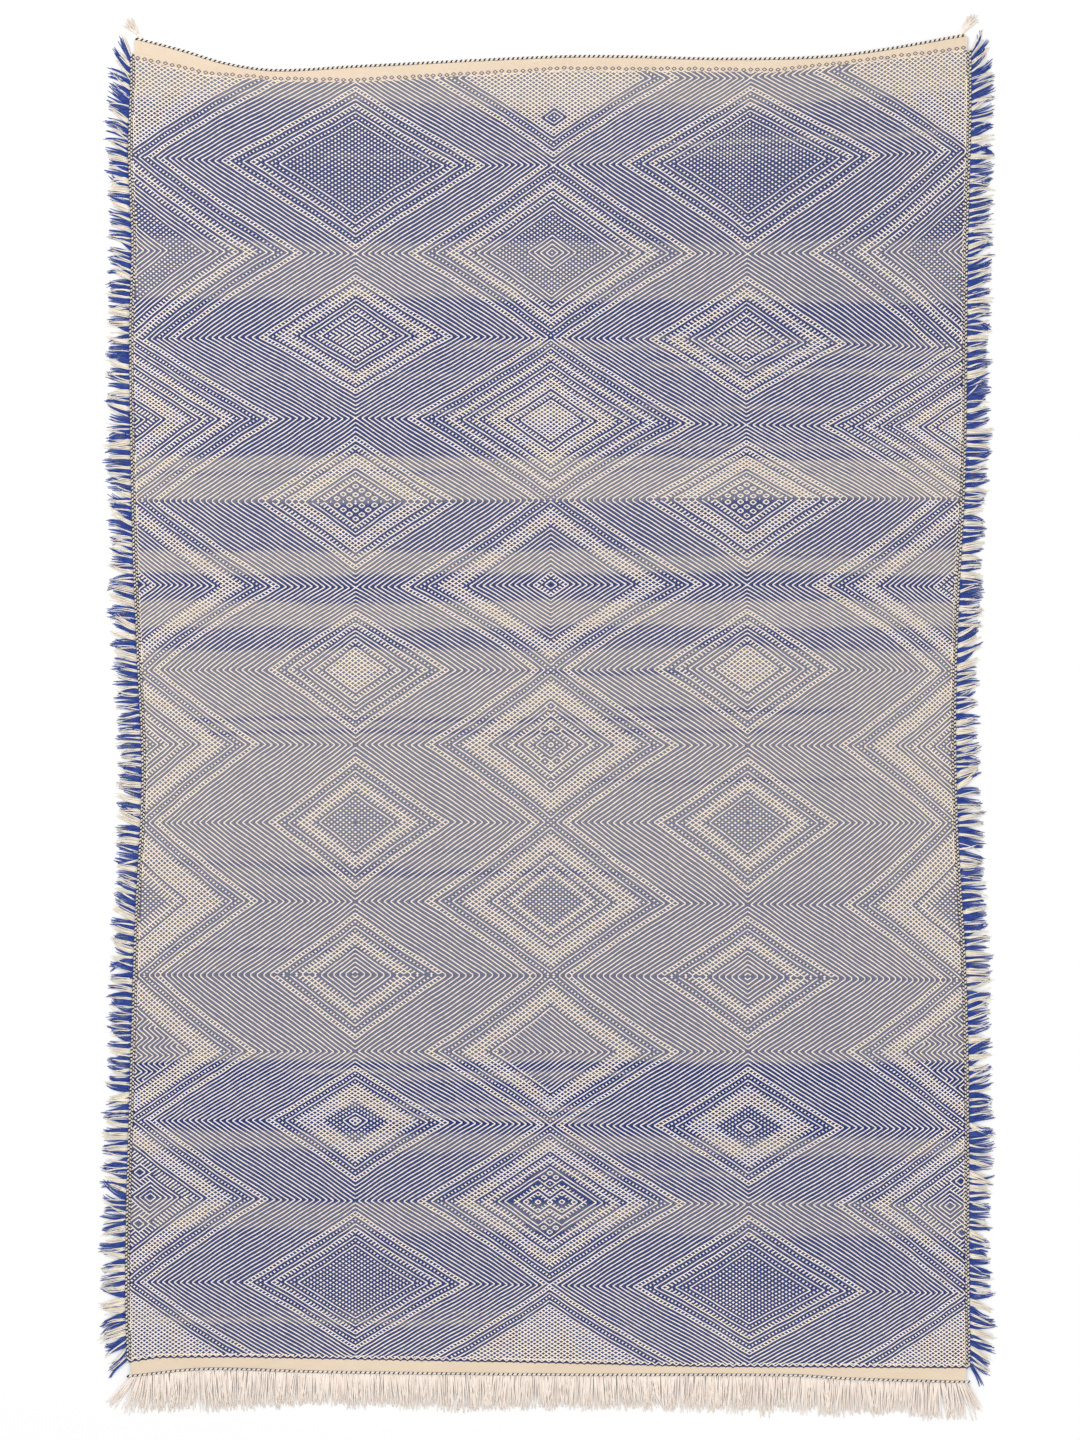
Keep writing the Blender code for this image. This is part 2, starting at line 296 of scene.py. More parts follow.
def add_uv(mesh, uv):
    """Puts one map on the mesh, from one pair of numbers a vertex."""
    corners = np.empty(len(mesh.loops), int)
    mesh.loops.foreach_get("vertex_index", corners)
    layer = mesh.uv_layers.new(name="OFBake")
    layer.data.foreach_set("uv", uv[corners].astype(np.float32).ravel())


def flat_map(points):
    """A map seen from straight above, filling the unit square."""
    low, high = points[:, :2].min(0), points[:, :2].max(0)
    return 0.004 + 0.992 * (points[:, :2] - low) / (high - low)


def new_piece(name, points, faces, material, uv=None, values=None):
    """A mesh object from arrays of points and of four-cornered or three-cornered faces, which
    rides on the rug. values are numbers for each point that its material reads by name."""
    clear(bpy.data.objects, name)
    points = np.asarray(points, float).reshape(-1, 3)
    faces = [np.asarray(f) for f in (faces if isinstance(faces, list) else [faces])]
    corners = np.concatenate([f.ravel() for f in faces])
    sizes = np.concatenate([np.full(len(f), f.shape[1]) for f in faces])
    mesh = bpy.data.meshes.new(name)
    mesh.vertices.add(len(points))
    mesh.vertices.foreach_set("co", points.astype(np.float32).ravel())
    mesh.loops.add(len(corners))
    mesh.loops.foreach_set("vertex_index", corners.astype(np.int32))
    mesh.polygons.add(len(sizes))
    starts = np.concatenate([[0], np.cumsum(sizes)[:-1]])
    mesh.polygons.foreach_set("loop_start", starts.astype(np.int32))
    mesh.polygons.foreach_set("use_smooth", np.ones(len(sizes), bool))
    mesh.update(calc_edges=True)
    add_uv(mesh, flat_map(points) if uv is None else uv)
    for key, numbers in (values or {}).items():
        layer = mesh.attributes.new(key, "FLOAT", "POINT")
        layer.data.foreach_set("value", np.asarray(numbers, np.float32).ravel())
    for m in material if isinstance(material, (list, tuple)) else [material]:
        mesh.materials.append(m)
    piece = bpy.data.objects.new(name, mesh)
    bpy.context.scene.collection.objects.link(piece)
    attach(piece, "root")
    return piece


def spread_between(share, along, out=0.0):
    """Places at a share of the way from the cloth's left edge to its right one, and at a
    distance along it that depends on x. The two lean on each other, so they're found in turns."""
    x = np.interp(share, [0, 1], [LEFT_EDGE[1].mean(), RIGHT_EDGE[1].mean()])
    for _ in range(4):
        y = along(x)
        x = (edge(LEFT_EDGE, y) - out) * (1 - share) + (edge(RIGHT_EDGE, y) + out) * share
    return x, y


def grid_faces(rows, columns, closed=False):
    """Four-cornered faces over a grid of points, wound so that they face the side from which
    the rows run up and the columns run right. closed joins the last column to the first."""
    r = np.arange(rows - 1)[:, None]
    c = np.arange(columns if closed else columns - 1)[None]
    n = (c + 1) % columns
    return np.stack([r * columns + c, r * columns + n, (r + 1) * columns + n, (r + 1) * columns + c],
                    -1).reshape(-1, 4)


def repeated(faces, count, step):
    """The faces of one small shape, repeated for count copies of its step points."""
    return (faces[None] + (np.arange(count) * step)[:, None, None]).reshape(-1, faces.shape[1])


# ---------------------------------------------------------------- materials


def linear(red, green, blue):
    """A display colour from 0 to 255 as the linear colour that a shader needs."""
    c = np.array([red, green, blue]) / 255
    return tuple(np.where(c <= 0.04045, c / 12.92, ((c + 0.055) / 1.055) ** 2.4)) + (1.0,)


def node(tree, kind, x, y, **values):
    """A shader node with its settings; names that are sockets get their value there."""
    made = tree.nodes.new(kind)
    made.location = (x, y)
    for key, value in values.items():
        if hasattr(made, key):
            setattr(made, key, value)
        else:
            made.inputs[key.replace("_", " ")].default_value = value
    return made


def maths(tree, operation, x, y, *values, clamp=False):
    """The output of a maths node whose inputs are sockets or numbers."""
    made = node(tree, "ShaderNodeMath", x, y, operation=operation, use_clamp=clamp)
    for socket, value in zip(made.inputs, values):
        if isinstance(value, bpy.types.NodeSocket):
            tree.links.new(value, socket)
        else:
            socket.default_value = value
    return made.outputs[0]


def new_group(name, inputs, outputs):
    """A shader node group with named inputs (name, kind, default) and outputs (name, kind)."""
    clear(bpy.data.node_groups, name)
    group = bpy.data.node_groups.new(name, "ShaderNodeTree")
    for label, kind, default in inputs:
        socket = group.interface.new_socket(label, in_out="INPUT", socket_type=kind)
        socket.default_value = default
    for label, kind in outputs:
        group.interface.new_socket(label, in_out="OUTPUT", socket_type=kind)
    return group


def yarn_mottle_group():
    """Uneven dye: slow patches and fine flecks of one colour in another."""
    group = new_group(
        "yarn_mottle",
        [("Color", "NodeSocketColor", (1, 1, 1, 1)), ("Flecks", "NodeSocketColor", (0.5, 0.5, 0.5, 1)),
         ("Patch Amount", "NodeSocketFloat", 0.3), ("Fleck Amount", "NodeSocketFloat", 0.2),
         ("Patch Scale", "NodeSocketFloat", 9.0), ("Fleck Scale", "NodeSocketFloat", 260.0)],
        [("Color", "NodeSocketColor")],
    )
    links = group.links
    come = node(group, "NodeGroupInput", -900, 0)
    go = node(group, "NodeGroupOutput", 500, 0)
    place = node(group, "ShaderNodeTexCoord", -900, 300)
    stretch = node(group, "ShaderNodeMapping", -700, 300, Scale=(1.0, 2.2, 1.0))
    patch = node(group, "ShaderNodeTexNoise", -450, 300, Detail=3.0, Roughness=0.6)
    fleck = node(group, "ShaderNodeTexNoise", -450, 0, Detail=2.0, Roughness=0.7)
    links.new(place.outputs["Object"], stretch.inputs["Vector"])
    links.new(stretch.outputs["Vector"], patch.inputs["Vector"])
    links.new(stretch.outputs["Vector"], fleck.inputs["Vector"])
    links.new(come.outputs["Patch Scale"], patch.inputs["Scale"])
    links.new(come.outputs["Fleck Scale"], fleck.inputs["Scale"])
    amounts = []
    for source, amount, y in ((patch, "Patch Amount", 300), (fleck, "Fleck Amount", 0)):
        spread = node(group, "ShaderNodeMapRange", -220, y, From_Min=0.35, From_Max=0.65)
        links.new(source.outputs["Fac"], spread.inputs["Value"])
        amounts.append(maths(group, "MULTIPLY", 0, y, spread.outputs["Result"], come.outputs[amount]))
    blend = node(group, "ShaderNodeMix", 320, 0, data_type="RGBA")
    links.new(maths(group, "ADD", 150, 150, *amounts, clamp=True), blend.inputs["Factor"])
    links.new(come.outputs["Color"], blend.inputs[6])
    links.new(come.outputs["Flecks"], blend.inputs[7])
    links.new(blend.outputs[2], go.inputs["Color"])
    return group


def plain_weave_group():
    """Ribs of a weft-faced plain weave: the wave across the rug at half strength, added to the wave along
    it, as a bump.
    """
    group = new_group(
        "plain_weave",
        [("Weft Pitch", "NodeSocketFloat", WEFT), ("Warp Pitch", "NodeSocketFloat", WARP),
         ("Depth", "NodeSocketFloat", 0.0004), ("Wander", "NodeSocketFloat", 0.0015)],
        [("Normal", "NodeSocketVector")],
    )
    links = group.links
    come = node(group, "NodeGroupInput", -1100, 0)
    go = node(group, "NodeGroupOutput", 700, 0)
    place = node(group, "ShaderNodeTexCoord", -1100, 300)
    drift = node(group, "ShaderNodeTexNoise", -900, 500, Scale=14.0, Detail=1.0)
    links.new(place.outputs["Object"], drift.inputs["Vector"])
    moved = node(group, "ShaderNodeVectorMath", -700, 300, operation="MULTIPLY_ADD")
    links.new(drift.outputs["Color"], moved.inputs[0])
    links.new(come.outputs["Wander"], moved.inputs[1])
    links.new(place.outputs["Object"], moved.inputs[2])
    apart = node(group, "ShaderNodeSeparateXYZ", -500, 300)
    links.new(moved.outputs[0], apart.inputs[0])
    waves = []
    for axis, pitch, y in (("X", "Warp Pitch", 300), ("Y", "Weft Pitch", 0)):
        turns = maths(group, "DIVIDE", -300, y, apart.outputs[axis], come.outputs[pitch])
        waves.append(maths(group, "SINE", 20, y, maths(group, "MULTIPLY", -140, y, turns, 2 * np.pi)))
    both = maths(group, "MULTIPLY_ADD", 180, 150, waves[0], 0.5, waves[1])
    bump = node(group, "ShaderNodeBump", 400, 150)
    bump.inputs["Strength"].default_value = 1.0
    links.new(both, bump.inputs["Height"])
    links.new(come.outputs["Depth"], bump.inputs["Distance"])
    links.new(bump.outputs["Normal"], go.inputs["Normal"])
    return group


def group_node(tree, name, x, y, **values):
    """A node group placed in a material, with its own values."""
    made = node(tree, "ShaderNodeGroup", x, y)
    made.node_tree = bpy.data.node_groups[name]
    for key, value in values.items():
        made.inputs[key.replace("_", " ")].default_value = value
    return made


def new_material(name, roughness=0.9):
    """A material with its Principled shader; wool and cotton are matte."""
    clear(bpy.data.materials, name)
    made = bpy.data.materials.new(name)
    made.use_nodes = True
    shader = made.node_tree.nodes["Principled BSDF"]
    shader.inputs["Roughness"].default_value = roughness
    shader.inputs["Specular IOR Level"].default_value = 0.15
    return made, made.node_tree, shader


def mottled_yarn(name, flecks, amounts, scales, weave_depth, weft, warp):
    """Yarn with uneven dye, and ribs where it is woven. amounts and scales are those of the
    slow patches and of the fine flecks."""
    made, tree, shader = new_material(name)
    mottle = group_node(tree, "yarn_mottle", -380, 200, Flecks=flecks, Patch_Amount=amounts[0],
                        Fleck_Amount=amounts[1], Patch_Scale=scales[0], Fleck_Scale=scales[1])
    tree.links.new(mottle.outputs["Color"], shader.inputs["Base Color"])
    if weave_depth:
        weave = group_node(tree, "plain_weave", -380, -200, Depth=weave_depth, Weft_Pitch=weft,
                           Warp_Pitch=warp)
        tree.links.new(weave.outputs["Normal"], shader.inputs["Normal"])
    return made, tree, mottle.inputs["Color"]


def faded_yarn(name, attribute, fresh, faded, weave_depth=0.0):
    """Yarn whose colour runs from fresh to faded by a number kept on the cloth. Its flecks are
    a darker shade of the faded colour."""
    dull = tuple(0.75 * c for c in faded[:3]) + (1.0,)
    made, tree, color = mottled_yarn(name, dull, (0.10, 0.16), (11.0, 190.0), weave_depth, WEFT, WARP)
    number = node(tree, "ShaderNodeAttribute", -900, 200, attribute_name=attribute)
    blend = node(tree, "ShaderNodeMix", -650, 200, data_type="RGBA")
    tree.links.new(number.outputs["Fac"], blend.inputs["Factor"])
    blend.inputs[6].default_value = fresh
    blend.inputs[7].default_value = faded
    tree.links.new(blend.outputs[2], color)
    return made


def plain_yarn(name, color, flecks, patch=0.3, fleck=0.25, patch_scale=9.0, fleck_scale=260.0,
               weave_depth=0.0, weft=WEFT, warp=WARP):
    """Yarn of one colour."""
    made, _, socket = mottled_yarn(name, flecks, (patch, fleck), (patch_scale, fleck_scale),
                                   weave_depth, weft, warp)
    socket.default_value = color
    return made


# ---------------------------------------------------------------- settings


def length(name, text, default):
    return bpy.props.FloatProperty(name=name, description=text, default=default, min=0.0,
                                   subtype="DISTANCE", unit="LENGTH")


def colour(name, text, red, green, blue):
    return bpy.props.FloatVectorProperty(name=name, description=text, subtype="COLOR", size=4,
                                         min=0.0, max=1.0, default=linear(red, green, blue))


class KilimClothSettings(bpy.types.PropertyGroup):
    """Colours and sizes of the woven cloth"""

    indigo: colour("Indigo", "Dark yarn where the dye is fresh", 27, 53, 122)
    faded: colour("Faded", "Dark yarn where the dye has gone pale", 131, 133, 154)
    ivory: colour("Ivory", "Pale yarn of the pattern among the blue", 252, 240, 226)
    cream: colour("Cream", "Pale yarn of the pattern where it is warmest", 253, 237, 213)
    heading: colour("Heading", "Plain weave at both ends", 254, 234, 209)
    thread_width: length("Thread Width", "Width of a pattern thread", 0.00198)
    cross_width: length("Cross Width", "Width of a cross thread between two lines", 0.0018)
    thread_rise: length("Thread Rise", "How far a pattern thread stands over the ground", 0.0006)
    knot_width: length("Knot Width", "Width of a separate knot", 0.0052)
    knot_height: length("Knot Height", "Length of a separate knot along the rug", 0.0039)


class KilimTrimSettings(bpy.types.PropertyGroup):
    """Colours and sizes of the cords, fringes and tassels"""

    twine_dark: colour("Dark Twine", "Dark yarn of the twined cords", 36, 36, 50)
    twine_pale: colour("Pale Twine", "Pale yarn of the twined cords", 248, 240, 230)
    royal: colour("Royal Blue", "Blue yarn of the side fringe", 34, 64, 156)
    fringe_pale: colour("Pale Fringe", "Pale yarn of the side fringe", 255, 247, 232)
    warp: colour("Warp", "Cut warp ends and tassels", 255, 246, 236)
    twist: length("Twist", "Length of one turn of a twined cord", 0.0084)
    side_length: length("Side Fringe", "Length of the side fringe", 0.049)
    end_length: length("Warp Fringe", "Length of the warp fringe", 0.064)
    side_bundles: bpy.props.IntProperty(name="Blue Locks", description="Blue locks on a side",
                                        default=165, min=10)


class KilimStageSettings(bpy.types.PropertyGroup):
    """Floor, light and camera"""

    camera_height: length("Camera Height", "Height of the camera over the floor", 6.0)
    view_height: length("View Height", "Length of floor that the camera sees", 2.546)
    floor: colour("Floor", "Floor under the rug", 252, 252, 252)


# ---------------------------------------------------------------- pattern


def band_flags(programs):
    """For each row of lozenges, which rings are lines, which send cross threads out, which are
    separate knots, and which slant or make squares. Past its bands every ring is a line."""
    flags = {key: np.zeros((len(programs), 80), bool) for key in "line cross knot slant square".split()}
    flags["line"][:] = True
    for r, bands in enumerate(programs):
        for k, mark in enumerate(bands):
            flags["line"][r, k] = mark in "-#"
            flags["cross"][r, k] = mark in "#|"
            flags["knot"][r, k] = mark in ".|"
            flags["slant"][r, k] = mark == "z"
            flags["square"][r, k] = mark == "o"
    return flags, np.array([len(bands) for bands in programs])


FLAGS, BANDS = band_flags([row[min(k, len(row) - 1)] for k in (4, 5, 6) for row in ROWS])


def slants(across, down, band):
    """Counts along the two slants from the lozenge middles on both sides of a band of rows."""
    even_row = np.where(ROW_SET[band] == 2, band, band + 1)
    odd_row = np.where(ROW_SET[band] == 2, band + 1, band)
    side = np.where(across < COLUMN_STEP, 1, np.where(across >= 3 * COLUMN_STEP, 2, 0))
    axis = np.array([2 * COLUMN_STEP, *SIDE_AXES])[side]
    beside = np.abs(across - axis)
    turn = np.where(across >= axis, 1, -1)
    odd_beside = np.abs(across - np.where(across < 2 * COLUMN_STEP, COLUMN_STEP, 3 * COLUMN_STEP))
    even_down, odd_down = down - ROW_KNOT[even_row], down - ROW_KNOT[odd_row]
    return {
        "even_row": even_row, "odd_row": odd_row, "turn": turn * np.where(even_down >= 0, 1, -1),
        "fall": even_down, "side": side,
        "s2": beside + np.abs(even_down), "d2": beside - np.abs(even_down),
        "s1": odd_beside + np.abs(odd_down), "d1": odd_beside - np.abs(odd_down),
    }


def banded(at, key):
    """A flag for each place, from the band of the lozenge that it belongs to."""
    ring2 = np.floor(at["s2"] - ROW_OFFSET[at["even_row"]] + TINY).astype(int)
    ring1 = np.floor(at["s1"] - ROW_OFFSET[at["odd_row"]] + TINY).astype(int)
    program = at["even_row"] + len(ROWS) * at["side"]
    in2 = ring2 < BANDS[program]
    in1 = ring1 < BANDS[at["odd_row"]]
    flag = FLAGS[key]
    value = np.full(at["s2"].shape, key == "line")
    value = np.where(in2, flag[program, np.maximum(ring2, 0)] & (ring2 >= 0), value)
    return np.where(in1, flag[at["odd_row"], np.maximum(ring1, 0)] & (ring1 >= 0), value)


def half_step(row, s0):
    """Half a knot where the middle of a motif lies between knots, and nothing where it is one."""
    return 0.0 if (s0 - ROW_OFFSET[row]) % 1 < 0.25 else 0.5


def thread_present(across, down, band, lean):
    """True where the weaver floated a pattern thread over the middle of a link between two
    knots. lean is 1 for a link down to the right, -1 down to the left, and 0 straight down."""
    at = slants(across, down, band)
    along = (lean * at["turn"] < 0) | (lean == 0)
    there = np.where(along, banded(at, "line"), banded(at, "cross"))
    fall = at["fall"]
    bend = np.where(at["side"] > 0, np.floor((fall + (at["side"] == 1)) / 2) % 2 == 0, fall < 0)
    there |= banded(at, "slant") & (lean * np.where(bend, 1, -1) > 0)
    pair = np.floor(at["d1"] + 0.25).astype(int) % 2 == 0
    ring = np.floor(at["s1"] - 0.25 + TINY).astype(int) % 2 == 1
    there |= banded(at, "square") & np.where(along, pair, ring)
    for row, s0, d0, bands, where in MOTIFS:
        ours = (at["even_row"] == row) & (at["side"] == where)
        off = half_step(row, s0)
        one = np.where(along, np.abs(at["s2"] - s0), np.abs(at["d2"] - d0))
        other = np.where(along, np.abs(at["d2"] - d0), np.abs(at["s2"] - s0))
        reach = len(bands) - 1 + off
        inside = ours & (np.maximum(one, other + 0.5) < reach + 0.01)
        inside |= ours & (np.maximum(one, other) < reach + 0.01) & (one >= other)
        line = np.array([b in "-#" for b in bands] + [False])
        cross = np.array([b in "#|" for b in bands] + [False])
        on_ring = one > other
        ring_no = np.clip(np.floor(one - off + 0.01), 0, len(bands)).astype(int)
        spoke_no = np.clip(np.floor(other - off + 0.01), 0, len(bands)).astype(int)
        there = np.where(inside, np.where(on_ring, line[ring_no], cross[spoke_no]), there)
    return there


def knot_present(across, down, band):
    """True where a knot stands alone or starts a cross thread."""
    at = slants(across, down, band)
    there = banded(at, "knot")
    for row, s0, d0, bands, where in MOTIFS:
        ours = (at["even_row"] == row) & ((where == 2) | (at["side"] == (where == 1)))
        off = half_step(row, s0)
        far = np.maximum(np.abs(at["s2"] - s0), np.abs(at["d2"] - d0))
        inside = ours & (far < len(bands) - 1 + off + 0.01)
        marks = np.array([b in ".|" for b in bands])
        ring = np.clip(np.floor(far - off + 0.01), 0, len(bands) - 1).astype(int)
        there = np.where(inside, marks[ring], there)
    return there


def lattice():
    """Counts of every knot, and of every link to a knot in the row of knots below it."""
    knots, links = [], []
    for band in range(len(ROWS) - 1):
        offset, below = ROW_OFFSET[band], ROW_OFFSET[band + 1]
        top, bottom = ROW_KNOT[band], ROW_KNOT[band + 1]
        number = np.arange(-int(2 * offset), int(2 * (bottom - top)) + 2)
        down = top + offset + number / 2
        keep = down < bottom - TINY
        number, down = number[keep], down[keep]
        across = np.arange(-10, 4 * COLUMN_STEP + 11)
        u = across[None] + (number[:, None] % 2) / 2
        v = np.broadcast_to(down[:, None], u.shape)
        last = np.zeros(u.shape, bool)
        last[-1] = below in (0.25, 0.75)
        where = np.full(u.shape, band)
        knots.append(np.stack([u, v, where], -1).reshape(-1, 3))
        for lean in (-1, 1, 0):
            chosen = last if lean == 0 else ~last
            links.append(np.stack([u, v, where, np.full(u.shape, lean)], -1)[chosen])
    return np.concatenate(knots), np.concatenate(links)


def field_limits(x, y):
    """The lowest and highest x and y that the pattern reaches from each place."""
    return (edge(LEFT_EDGE, y) + 0.0004, edge(RIGHT_EDGE, y) - 0.0004,
            edge(table(FRINGE_BORDER), x) + 0.0040, edge(table(TASSEL_BORDER), x) - BEAD_STRIP)


def inside_field(x, y):
    """True between the two long edges and between the two headings."""
    left, right, bottom, top = field_limits(x, y)
    return (x > left) & (x < right) & (y < top) & (y > bottom)


def held_inside(points):
    """Points moved onto the nearest border of the field where they lie outside it."""
    x, y = points.T
    left, right, bottom, top = field_limits(x, y)
    return np.stack([np.clip(x, left, right), np.clip(y, bottom, top)], 1)


def dye_runs():
    """Short runs in metres: distance down, length along the rug, middle across, how far they
    reach to either side, and paleness. They fall evenly over the rug from a fixed seed."""
    rng = np.random.default_rng(SEED)
    return np.stack([
        rng.uniform(-1.09, 1.08, DYE_RUNS), rng.uniform(0.005, 0.010, DYE_RUNS),
        rng.uniform(-0.6, 0.6, DYE_RUNS), rng.uniform(0.15, 0.5, DYE_RUNS),
        rng.uniform(0.3, 0.8, DYE_RUNS),
    ], 1)


def fading(x, y):
    """How pale the dark yarn is. Each place is followed along its weft to the middle of the
    rug, and read off the list of dye lots there; short runs lie over it, with tapered ends."""
    first, part = beside_places(x)
    middle = np.stack([np.interp(-y, row, ROW_DOWN[:, 2]) for row in ROW_DOWN.T])
    down = (np.take_along_axis(middle, first[None], 0)[0] * (1 - part)
            + np.take_along_axis(middle, first[None] + 1, 0)[0] * part)
    down = down + 0.0018 * np.sin(11 * x + 40 * y) + 0.0012 * np.sin(37 * x + 1)
    start, pale = np.array(DYE_LOTS, float).T
    start = start * MM
    soft = 0.0025
    value = np.interp(down, np.stack([start - soft, start + soft], 1).ravel(),
                      np.stack([np.r_[pale[0], pale[:-1]], pale], 1).ravel())
    for place, tall, middle, reach, tone in dye_runs():
        near = np.clip(1.6 - np.abs(down - place) / (tall / 2), 0, 1)
        ends = np.clip((reach - np.abs(x - middle)) / 0.06, 0, 1)
        value = value + (tone - value) * near * ends
    return value


def threads(ends_a, ends_b, width, rise):
    """Low roofs over links: each runs from knot to knot, its two eaves on the ground and its
    ridge above it. Eave = end + side * width / 2, where side is square to the link. width and
    rise are one number for all, or one for each."""
    run = ends_b - ends_a
    along = run / np.linalg.norm(run, axis=1, keepdims=True)
    side = np.stack([-along[:, 1], along[:, 0]], 1)
    half = np.broadcast_to(width, len(run))[:, None] / 2
    plan = np.stack([
        ends_a + side * half, ends_a, ends_a - side * half,
        ends_b + side * half, ends_b, ends_b - side * half,
    ], 1)
    lift = np.full(plan.shape[:2], FOOT)
    lift[:, [1, 4]] = np.broadcast_to(rise, len(run))[:, None]
    z = lie(plan[..., 0], plan[..., 1]) + lift
    points = np.concatenate([plan, z[..., None]], -1)
    faces = np.array([[0, 1, 4, 3], [1, 2, 5, 4]])
    return points.reshape(-1, 3), repeated(faces, len(plan), 6)


def knot_heads(middles, wide, tall, rise):
    """Low four-sided points: corners at half the width across and half the height along."""
    zero = np.zeros_like(wide)
    spread = np.stack([
        np.stack([wide / 2, zero], -1), np.stack([zero, tall / 2], -1),
        np.stack([-wide / 2, zero], -1), np.stack([zero, -tall / 2], -1),
        np.stack([zero, zero], -1),
    ], 1)
    plan = middles[:, None] + spread
    z = lie(plan[..., 0], plan[..., 1]) + FOOT
    z[:, 4] += rise
    points = np.concatenate([plan, z[..., None]], -1)
    faces = np.array([[0, 1, 4], [1, 2, 4], [2, 3, 4], [3, 0, 4]])
    return points.reshape(-1, 3), repeated(faces, len(plan), 5)


# ---------------------------------------------------------------- trims

LOOK_ASIDE = 0.004  # how far to either side a line's direction is taken
GRAIN_LONG, GRAIN_ROUND = 6, 5  # points along and around one wrap of yarn
CORD_OUT = 0.0024  # middle of a twined cord past the edge of the cloth
CORD_CORE = (0.0020, 0.0014)  # half its width and height
CORD_LEAN = 0.62
PALE_WRAP = (0.0064, 0.0030, 0.0024)  # length, width and height of a cord's ivory wraps
SELVEDGE_LINES = (0.0021, 0.0061)  # the two bound warps past the edge of the cloth
SELVEDGE_CORE = (0.0018, 0.0013)
SELVEDGE_PITCH, SELVEDGE_LEAN = 0.0066, 0.9
SELVEDGE_DARK = (0.0062, 0.0037, 0.0024)
SELVEDGE_PALE = (0.0050, 0.0028, 0.0024)
TASSEL_STRANDS = 26
TASSEL_LENGTH, TASSEL_NECK = 0.034, 0.010
TASSEL_LEAN, TASSEL_SPREAD = 0.70, 0.46


def tube_faces(rings, sides):
    """The walls of a tube of rings, and its two flat caps."""
    caps = np.array([np.arange(sides), (rings - 1) * sides + np.arange(sides)[::-1]])
    return grid_faces(rings, sides, closed=True)[:, ::-1], caps


def strand_set(roots, angles, lengths, radii, curl, rise, steps=6, sides=3, flatten=1.0):
    """Loose yarn ends. Each runs out from its root and turns by its curl on the way: the path
    is the running sum of short steps whose angle grows with the square of the share run. Its
    section is a small ring that narrows to the tip, and it arches by its rise."""
    count = len(roots)
    share = np.linspace(0, 1, steps)[None]
    turn = angles[:, None] + curl[:, None] * share**2
    step = lengths[:, None] / (steps - 1)
    way = np.stack([np.cos(turn), np.sin(turn)], -1)
    middle = (way[:, 1:] + way[:, :-1]) / 2 * step[..., None]
    plan = roots[:, None, :2] + np.concatenate([np.zeros((count, 1, 2)), np.cumsum(middle, 1)], 1)
    radius = radii[:, None] * (1 - 0.62 * share**2)
    height = roots[:, None, 2] * (1 - share) + radius + rise[:, None] * np.sin(np.pi * share**0.8)
    ring = np.arange(sides) / sides * 2 * np.pi + np.pi / 2
    side = np.stack([-way[..., 1], way[..., 0]], -1)
    flat = plan[:, :, None] + side[:, :, None] * (radius[..., None] * np.cos(ring))[..., None]
    z = height[..., None] + flatten * radius[..., None] * np.sin(ring)
    points = np.concatenate([flat, z[..., None]], -1).reshape(-1, 3)
    return points, [repeated(part, count, steps * sides) for part in tube_faces(steps, sides)]


def along_line(points, spacing, start=0.0):
    """Places at an even spacing along a line of points, with the line's direction at each."""
    gaps = np.linalg.norm(np.diff(points, axis=0), axis=1)
    run = np.concatenate([[0.0], np.cumsum(gaps)])
    at = np.arange(start, run[-1], spacing)

    def place_at(distance):
        return np.stack([np.interp(distance, run, line) for line in points.T], 1)

    place = place_at(at)
    way = (place_at(at + LOOK_ASIDE) - place_at(at - LOOK_ASIDE))[:, :2]
    return place, way / np.linalg.norm(way, axis=1, keepdims=True), at / run[-1]


def tube(points, wide, high, sides=8):
    """An oval tube along a line, with flat caps: ring = line + side * cos * wide + up * sin * high."""
    way = np.gradient(points[:, :2], axis=0)
    way /= np.linalg.norm(way, axis=1, keepdims=True)
    side = np.stack([-way[:, 1], way[:, 0]], 1)
    ring = np.arange(sides) / sides * 2 * np.pi
    plan = points[:, None, :2] + side[:, None] * (wide * np.cos(ring))[None, :, None]
    z = points[:, None, 2] + high * np.sin(ring)[None]
    made = np.concatenate([plan, z[..., None]], -1).reshape(-1, 3)
    return made, list(tube_faces(len(points), sides))


def wraps(places, ways, lean, long, wide, high):
    """Turns of yarn over a cord: half an oval grain at each place, its long axis turned by the
    lean from the cord. Grain = middle + axis * t + (side * cos + up * sin) * swell of t."""
    t = np.linspace(-1, 1, GRAIN_LONG)
    swell = np.sqrt(np.maximum(1 - t**2, 0.02))
    arc = np.linspace(0, np.pi, GRAIN_ROUND)
    turn = np.arctan2(ways[:, 1], ways[:, 0]) + lean
    axis = np.stack([np.cos(turn), np.sin(turn)], 1)
    side = np.stack([-axis[:, 1], axis[:, 0]], 1)
    plan = (
        places[:, None, None, :2]
        + axis[:, None, None] * (t * long / 2)[None, :, None, None]
        + side[:, None, None] * (swell[:, None] * np.cos(arc)[None] * wide / 2)[None, ..., None]
    )
    z = places[:, None, None, 2] + (swell[:, None] * np.sin(arc)[None] * high)[None]
    points = np.concatenate([plan, z[..., None]], -1).reshape(-1, 3)
    one = grid_faces(GRAIN_LONG, GRAIN_ROUND)
    return points, repeated(one, len(places), GRAIN_LONG * GRAIN_ROUND)


def joined(parts):
    """Several sets of points and faces as one."""
    points, faces, start = [], {}, 0
    for p, f in parts:
        for block in f if isinstance(f, list) else [f]:
            faces.setdefault(block.shape[1], []).append(block + start)
        points.append(p)
        start += len(p)
    return np.concatenate(points), [np.concatenate(blocks) for blocks in faces.values()]


# ---------------------------------------------------------------- pieces


